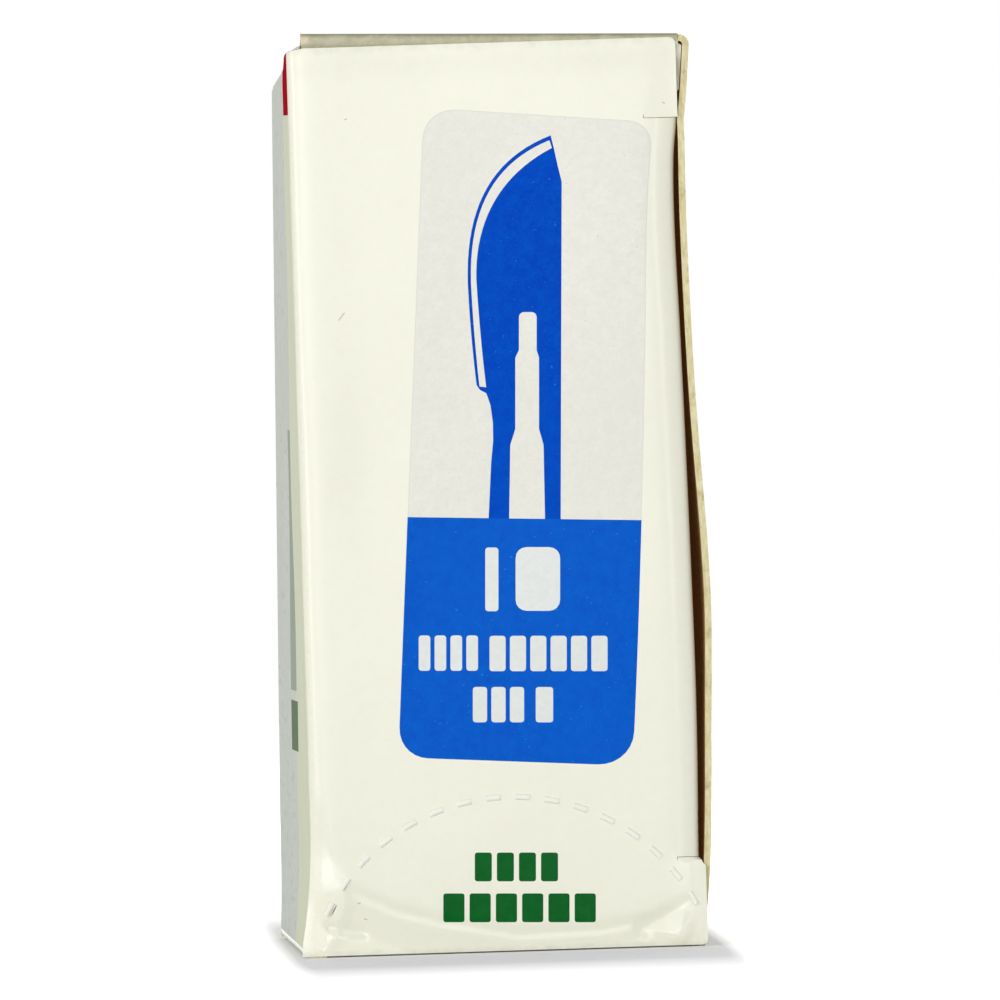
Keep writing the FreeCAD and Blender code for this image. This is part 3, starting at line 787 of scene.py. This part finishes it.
def onPath(place):
    n = min(int(place / foldStep), len(foldPath) - 2)
    (x0, y0), (x1, y1) = foldPath[n], foldPath[n + 1]
    share = place / foldStep - n
    return mix(x0, x1, share), mix(y0, y1, share)


# The distance to a line through points, and the line's nearest place
def nearest(x, z, points):
    found = (1e9, 0, 0)
    for (x0, z0), (x1, z1) in zip(points, points[1:]):
        span = (x1 - x0) ** 2 + (z1 - z0) ** 2
        t = min(max(((x - x0) * (x1 - x0) + (z - z0) * (z1 - z0)) / span, 0.0), 1.0)
        nearX, nearZ = mix(x0, x1, t), mix(z0, z1, t)
        found = min(found, (math.hypot(x - nearX, z - nearZ), nearX, nearZ))
    return found


def nearLine(x, z, points):
    return nearest(x, z, points)[0]


# Dents and creases of the front panel, inwards
creases = {
    "lens": [(-15.5, 6.6), (-11.0, 4.4), (-6.4, 3.2), (1.0, 1.75), (9.0, 2.0), (14.5, 2.9), (18.0, 4.6)],
    "lensDepth": 0.11,
    # crumpled corners: outline, the place where each lies level, and its lean across and up
    "facets": [([(13.3, 1.9), (16.85, 1.2), (17.4, 3.7)], (15.4, 2.1), (-0.18, 0.24)),
               ([(-19.3, 15), (-21.5, 15), (-21.5, 0.3), (-18.6, 0.3), (-17.2, 2.2), (-16.2, 5.0), (-16.4, 6.8),
                 (-18.2, 10.5)], (-17.2, 6), (-0.14, 0.03))],
    "footLean": 0.1,
    "footReach": 3.5,
    "leftRoll": (1.9, 0.13),    # width and depth of the panel's turn towards each fold
    "rightRoll": (3.6, 0.07),
    "topLean": 0.12,
    "pinch": [(-18.5, 3.3), (-16.6, 2.7), (-14.5, 2.4)],
    "pinchDepth": 0.2,
    "ridge": 0.12,
}


def frontDent(x, z):
    c = creases
    dent = closure["lieBack"] + handling(x, 0, z, 4.2, 18, 0.16) * smooth((x + 18) / 6)
    dent += c["leftRoll"][1] * (1 - smooth((x + 18.9) / c["leftRoll"][0])) ** 1.5
    if z > 9:
        width, depth = c["rightRoll"]
        dent += depth * smooth((x - through(closure["frontFold"], z) + 19.3 + width) / width)
    else:
        dent -= c["ridge"] * math.exp(-((x - 18.1) / 0.9) ** 2) * smooth((9 - z) / 0.8) * smooth(z / 2)
    dent += c["lensDepth"] * math.exp(-(nearLine(x, z, c["lens"]) / 0.5) ** 2)
    below = max(0, through(c["lens"], x) - z) * smooth((18 - x) / 3)
    dent += c["footLean"] * min(below, c["footReach"])
    dent += c["topLean"] * smooth((z - 86) / 4)
    for polygon, level, lean in c["facets"]:
        away, nearX, nearZ = (0, x, z) if inside(x, z, polygon) else nearest(x, z, polygon + polygon[:1])
        plane = lean[0] * (nearX - level[0]) + lean[1] * (nearZ - level[1])
        dent += plane * (1 - smooth(away / 1.4))
    dent = max(dent, 0.02)
    dent += c["pinchDepth"] * math.exp(-(nearLine(x, z, c["pinch"]) / 0.45) ** 2)
    return dent


def backDent(x, z):
    return closure["lieBack"] + handling(x, 7, z, 8.8, 20, 0.2)


# Puts a place of the blank where it lies on the folded carton
def folded(end, b, z):
    out, face = end["out"], end["face"]
    hinge = straightX(-1, sheet["top"] if out < 0 else z, face)
    radius, start = closure["stripRadius"], closure["foldStart"]
    eaten = through(closure["wedgePanel"], z) if out < 0 else 0.0
    panelEdge = hinge + radius + eaten
    edgeDepth = min(end["dent"](panelEdge, z), 0.6)
    shift = (through(end["fold"], min(max(z, 9), 82)) - foldWidth - start) * smooth((b - start + 6) / 6)
    low, high = closure["foot"] + closure["shoulderFoot"][0], closure["top"] - closure["shoulderTop"][0]
    if b < radius:
        turn = (radius - b) / stripLength * math.pi / 2
        half = panelEdge - leftX(z, face)
        crushed = 0.85 * smooth((13 - z) / 3) if out < 0 else 0.0
        chord = turn / (math.pi / 2)
        x = panelEdge - half * mix(math.sin(turn), chord, crushed)
        inwards = edgeDepth + (radius - edgeDepth) * mix(1 - math.cos(turn), chord, crushed)
        return x, face - out * inwards, z
    x = hinge + b + shift + eaten * (1 - smooth((b - radius) / 3))
    inwards = mix(edgeDepth, end["dent"](x, z), smooth((b - radius) / 0.5))
    if b > start and low < z < high:
        across, turnedIn = onPath(b - start)
        x = hinge + start + shift + across
        inwards += turnedIn
        if turnedIn > closure["tightRadius"]:
            inwards = turnedIn + mix(inwards - turnedIn, closure["lieBack"], smooth((turnedIn - 1) / 2))
    return x, face - out * inwards, z


def rubbedAndGlow(b, z):
    left = 0.7 * math.exp(-((b - 0.25) / 0.55) ** 2)
    # the peak beside the tuck fold is a painted glow line of light coming through the board, not wear
    right = 0.55 * math.exp(-((b - closure["foldStart"] - 2.6) / 0.5) ** 2)
    ends = 0.55 * math.exp(-((closure["top"] - z) / 0.35) ** 2)
    ends += 0.5 * math.exp(-((z - closure["foot"]) / 0.3) ** 2)
    return max(left, right, ends)


# Darker along the foot and along the top edge
def dirtAndShadeAt(b, z):
    foot = math.exp(-((z - closure["foot"]) / 0.5) ** 2)
    return 0.12 + 0.35 * foot + 0.3 * math.exp(-((closure["top"] - z) / 0.8) ** 2)


# Splits a loop's long edges, finely where the board bends
def finely(loop):
    start, end = closure["foldStart"], closure["foldStart"] + foldLength
    found = []
    for (b0, z0), (b1, z1) in zip(loop, loop[1:] + loop[:1]):
        stops = {0.0, 1.0}
        for fold in (closure["stripRadius"], start, end):
            if min(b0, b1) < fold < max(b0, b1):
                stops.add((fold - b0) / (b1 - b0))
        stops = sorted(stops)
        for s0, s1 in zip(stops, stops[1:]):
            middle, length = mix(b0, b1, (s0 + s1) / 2), (s1 - s0) * math.hypot(b1 - b0, z1 - z0)
            bent = middle < closure["stripRadius"] or start < middle < end
            count = max(1, math.ceil(length / (0.19 if bent and abs(b1 - b0) > 0.1 else 0.95)))
            found += [(mix(b0, b1, s), mix(z0, z1, s)) for s in steps(s0, s1, count)[:-1]]
    return found


def inside(x, z, polygon):
    hit = False
    for (x0, z0), (x1, z1) in zip(polygon, polygon[1:] + polygon[:1]):
        if (z0 > z) != (z1 > z) and x < x0 + (z - z0) / (z1 - z0) * (x1 - x0):
            hit = not hit
    return hit


# Cuts the blank into triangles along its outline, its print and its slots, then folds it
def makeClosure(name, end, shapes, cuts, inks):
    outline = blankOutline(*end["corner"])
    hinge = straightX(-1, sheet["top"], end["face"]) if end["out"] < 0 else 0.0
    loops = [("blank", outline, 0)]
    loops += [(key, [(x - hinge, z) for x, z in loop], ink) for key, loop, ink in shapes]
    loops += [("cut", [(x - hinge, z) for x, z in cut], -1) for cut in cuts]
    spots = []
    columns = steps(stripStart, closure["stripRadius"], 14) + steps(closure["stripRadius"], 3.5, 9)[1:]
    columns += steps(3.5, 31.0, 30)[1:] + steps(31.0, closure["foldStart"], 13)[1:]
    foldEnd, foot, top = closure["foldStart"] + foldLength, closure["foot"], closure["top"]
    columns += steps(closure["foldStart"], foldEnd, 18)[1:]
    columns += steps(foldEnd, foldEnd + closure["tuckDepth"], 9)[1:]
    levels = steps(foot, top, round((top - foot) / closure["gridStep"]))
    edges = outline + outline[:1]
    grid = [(b, z) for b in columns for z in levels]
    if end["out"] < 0:
        grid += [(b, z) for b in steps(1.0, 38.5, 125) for z in steps(0.45, 13.35, 43)]
    for b, z in grid:
        if inside(b, z, outline) and nearLine(b, z, edges) > 0.12:
            spots.append((b, z))
    corners, faces = [], []
    for _, loop, _ in loops:
        loop = finely(loop)
        area = sum(x0 * z1 - x1 * z0 for (x0, z0), (x1, z1) in zip(loop, loop[1:] + loop[:1]))
        faces.append(list(range(len(corners), len(corners) + len(loop))))
        corners += loop if area > 0 else loop[::-1]
    found = delaunay_2d_cdt([Vector(p) for p in corners + spots], [], faces, 1, 1e-5)
    flat, triangles, origins = found[0], found[2], found[5]
    points = [folded(end, p.x, p.y) for p in flat]
    wearAndGlow = [rubbedAndGlow(p.x, p.y) for p in flat]
    dirtAndShade = [dirtAndShadeAt(p.x, p.y) for p in flat]
    kept, slots = [], []
    for triangle, origin in zip(triangles, origins):
        keys = {loops[n][0]: loops[n][2] for n in origin}
        if "cut" in keys or "blank" not in keys:
            continue
        ink = 0
        for key, _, value in loops[1:]:
            if key in keys and (key in ("green", "scuff") or "label" in keys):
                ink = value
        kept.append(triangle)
        slots.append(ink)
    spot = folded(end, 20, 50)
    return boardFromSkin(name, points, kept, slots, inks, wearAndGlow, dirtAndShade, (spot, (0, end["out"], 0)))


def hangOnFold(piece, node):
    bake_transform(piece)
    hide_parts(node)


frontEnd = {"out": -1, "face": sheet["frontFace"], "fold": closure["frontFold"], "dent": frontDent,
            "corner": (1.7, 0.4)}
backEnd = {"out": 1, "face": sheet["backFace"], "fold": closure["backFold"], "dent": backDent,
           "corner": (4.2, 4.2)}
frontInks = [cream, labelGrey, inkBlue, markWhite, inkGreen, labelLine, scuff, fieldBlue]
frontClosure = makeClosure("front_closure_sheet", frontEnd, frontPrint(), tabCuts(), frontInks)
hangOnFold(frontClosure, "front_flap")
backClosure = makeClosure("back_closure_sheet", backEnd, [], [], [cream])
hangOnFold(backClosure, "back_flap")

# Raised lips that the cutting rule left above the thumb tab's cuts, spaced round the arc
lip = {"length": 1.4, "width": 0.3, "height": 0.2, "offset": 0.24}


def lipTree(material):
    tree = bpy.data.node_groups.new("tab_lips", "GeometryNodeTree")
    sockets = {}
    for label in ("Cuts", "Step", "Radius", "Length", "Width", "Height"):
        kind = "NodeSocketInt" if label == "Cuts" else "NodeSocketFloat"
        sockets[label] = tree.interface.new_socket(label, in_out="INPUT", socket_type=kind).identifier
    tree.interface.new_socket("Geometry", in_out="OUTPUT", socket_type="NodeSocketGeometry")
    given, result = tree.nodes.new("NodeGroupInput"), tree.nodes.new("NodeGroupOutput")

    def node(kind, links, **settings):
        made = tree.nodes.new(kind)
        for key, value in settings.items():
            setattr(made, key, value)
        for socket, source in links.items():
            if isinstance(source, (int, float, tuple)):
                made.inputs[socket].default_value = source
            else:
                tree.links.new(source, made.inputs[socket])
        return made

    def sums(operation, first, second):
        return node("ShaderNodeMath", {0: first, 1: second}, operation=operation).outputs[0]

    radius = given.outputs["Radius"]
    sweep = sums("DIVIDE", given.outputs["Length"], radius)
    begin = sums("SUBTRACT", math.pi / 2, sums("MULTIPLY", sweep, 0.5))
    arc = node("GeometryNodeCurveArc", {"Resolution": 9, "Radius": radius, "Start Angle": begin,
                                        "Sweep Angle": sweep})
    place = node("GeometryNodePoints", {"Count": given.outputs["Cuts"]})
    middle = sums("MULTIPLY", sums("SUBTRACT", given.outputs["Cuts"], 1), 0.5)
    number = sums("SUBTRACT", middle, node("GeometryNodeInputIndex", {}).outputs[0])
    turn = node("ShaderNodeCombineXYZ", {"Z": sums("MULTIPLY", number, given.outputs["Step"])})
    spread = node("GeometryNodeInstanceOnPoints", {"Points": place.outputs[0], "Instance": arc.outputs[0],
                                                   "Rotation": turn.outputs[0]})
    arcs = node("GeometryNodeRealizeInstances", {"Geometry": spread.outputs[0]})
    share = node("GeometryNodeSplineParameter", {}).outputs["Factor"]
    swell = sums("MAXIMUM", sums("SINE", sums("MULTIPLY", share, math.pi), 0), 0.12)
    points = sums("MULTIPLY", given.outputs["Cuts"], 9)    # an arc has nine points
    along = sums("DIVIDE", node("GeometryNodeInputIndex", {}).outputs[0], points)
    worn = sums("SUBTRACT", 1.1, sums("MULTIPLY", along, 0.5))
    tapered = node("GeometryNodeSetCurveRadius", {"Curve": arcs.outputs[0],
                                                  "Radius": sums("MULTIPLY", swell, worn)})
    ring = node("GeometryNodeCurvePrimitiveCircle", {"Resolution": 10, "Radius": 1.0})
    flat = node("ShaderNodeCombineXYZ", {"X": given.outputs["Width"], "Y": given.outputs["Height"], "Z": 1.0})
    profile = node("GeometryNodeTransform", {"Geometry": ring.outputs[0], "Scale": flat.outputs[0]})
    lips = node("GeometryNodeCurveToMesh", {"Curve": tapered.outputs[0], "Profile Curve": profile.outputs[0],
                                            "Fill Caps": True})
    upright = node("GeometryNodeTransform", {"Geometry": lips.outputs[0], "Rotation": (math.pi / 2, 0, 0)})
    inked = node("GeometryNodeSetMaterial", {"Geometry": upright.outputs[0]})
    inked.inputs["Material"].default_value = material
    tree.links.new(inked.outputs[0], result.inputs[0])
    return tree, sockets


def tabLips():
    lips = linked("tab_lips", bpy.data.meshes.new("tab_lips"))
    tree, sockets = lipTree(lipHighlightCream)
    grown = lips.modifiers.new("lips", "NODES")
    grown.node_group = tree
    given = {"Cuts": tab["cuts"], "Step": math.radians(tab["step"]),
             "Radius": (tab["radius"] + lip["offset"]) * mm, "Length": lip["length"] * mm,
             "Width": lip["width"] * mm, "Height": lip["height"] * mm}
    for label, value in given.items():
        grown[sockets[label]] = value
    lips.update_tag()
    solid = bpy.data.meshes.new_from_object(lips.evaluated_get(bpy.context.evaluated_depsgraph_get()))
    lips.modifiers.clear()
    lips.data = solid
    for point in solid.vertices:
        x, z = point.co.x / mm + tab["centre"], point.co.z / mm + tab["rise"] - tab["radius"]
        lie = frontDent(x, z) * smooth((x + 19) / 2.5)
        point.co = Vector((x, point.co.y / mm + sheet["frontFace"] + max(lie, lip["height"] + 0.01), z)) * mm
    solid.shade_smooth()
    print("tab_lips", len(solid.polygons), "faces")
    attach(lips, "front_closure")


tabLips()

# Floor, lamps and camera
stage = {
    "lookAt": (0.446, -55.0, 44.72),
    "azimuth": -1.23,
    "elevation": 0.5,
    "roll": -1.8,
    "distance": 4.0,
    "lens": 1456.5,
    "world": 0.5,
}


def shotCamera():
    data = bpy.data.cameras.new("camera")
    data.lens = stage["lens"]
    data.sensor_width = 36
    data.clip_start, data.clip_end = 0.1, 50
    camera = linked("camera", data)
    a, e = math.radians(stage["azimuth"]), math.radians(stage["elevation"])
    back = Vector((math.sin(a) * math.cos(e), -math.cos(a) * math.cos(e), math.sin(e)))
    camera.location = Vector(stage["lookAt"]) * mm + back * stage["distance"]
    aim = (-back).to_track_quat("-Z", "Y").to_matrix().to_4x4()
    aim = aim @ Matrix.Rotation(math.radians(stage["roll"]), 4, "Z")
    camera.matrix_world = Matrix.Translation(camera.location) @ aim
    bpy.context.scene.camera = camera


def softLamp(name, place, aim, size, power):
    data = bpy.data.lights.new(name, "AREA")
    data.shape = "RECTANGLE"
    data.size, data.size_y = size
    data.energy = power
    lamp = linked(name, data)
    lamp.location = place
    lamp.rotation_euler = (Vector(aim) - Vector(place)).to_track_quat("-Z", "Y").to_euler()
    lamp.visible_camera = False


def paleFloor():
    mesh = bpy.data.meshes.new("floor")
    bm = bmesh.new()
    bmesh.ops.create_circle(bm, cap_ends=True, radius=1.6, segments=96)
    bm.to_mesh(mesh)
    bm.free()
    floor = linked("floor", mesh)
    material = bpy.data.materials.new("pale_floor")
    material.use_nodes = True
    tree = material.node_tree
    shader = tree.nodes["Principled BSDF"]
    shader.inputs["Base Color"].default_value = (0.8, 0.8, 0.8, 1)
    shader.inputs["Roughness"].default_value = 0.9
    rays = tree.nodes.new("ShaderNodeLightPath")
    seen = calculate(tree, "MAXIMUM", rays.outputs["Is Camera Ray"], rays.outputs["Is Glossy Ray"])
    away = tree.nodes.new("ShaderNodeVectorMath")
    away.operation = "LENGTH"
    place = tree.nodes.new("ShaderNodeTexCoord").outputs["Object"]
    for operation, value in (("ABSOLUTE", None), ("SUBTRACT", (0.02, 0.055, 0)), ("MAXIMUM", (0, 0, 0))):
        node = tree.nodes.new("ShaderNodeVectorMath")
        node.operation = operation
        tree.links.new(place, node.inputs[0])
        if value:
            node.inputs[1].default_value = value
        place = node.outputs["Vector"]
    # near the carton's footprint the white glow drops to 0.1, so the floor in front of and behind the carton
    # reads grey: a painted shadow zone round the carton, added to its cast shadow
    tree.links.new(scaled(tree, place, (50, 1, 1)), away.inputs[0])
    glow = ranged(tree, away.outputs["Value"], 0.05, 0.2, 0.1, 1.0)
    tree.links.new(times(tree, seen, glow), shader.inputs["Emission Strength"])
    shader.inputs["Emission Color"].default_value = (1, 1, 1, 1)
    mesh.materials.append(material)


def studioWorld():
    world = bpy.data.worlds.new("studio")
    bpy.context.scene.world = world
    world.use_nodes = True
    tree = world.node_tree
    background = tree.nodes["Background"]
    background.inputs["Color"].default_value = (1, 1, 1, 1)
    rays = tree.nodes.new("ShaderNodeLightPath")
    seen = calculate(tree, "MAXIMUM", rays.outputs["Is Camera Ray"], rays.outputs["Is Transmission Ray"])
    tree.links.new(ranged(tree, seen, 0, 1, stage["world"], 1.0), background.inputs["Strength"])


shotCamera()
softLamp("key", (-0.75, -1.25, 0.5), (0, 0, 0.03), (1.0, 1.0), 6.5)
softLamp("low", (-0.3, -1.4, 0.12), (0, 0, 0), (0.8, 0.2), 2.6)
softLamp("right_edge", (0.38, -1.6, 0.2), (0, 0, 0.04), (0.07, 0.9), 2.0)
softLamp("left_edge", (-0.62, -1.5, 0.2), (0, 0, 0.04), (0.07, 0.9), 1.0)
softLamp("back", (0.05, 0.6, 1.0), (0, 0, 0), (0.4, 0.4), 2.5)
paleFloor()
studioWorld()
bpy.context.scene.view_settings.view_transform = "Standard"
print("stage ready")
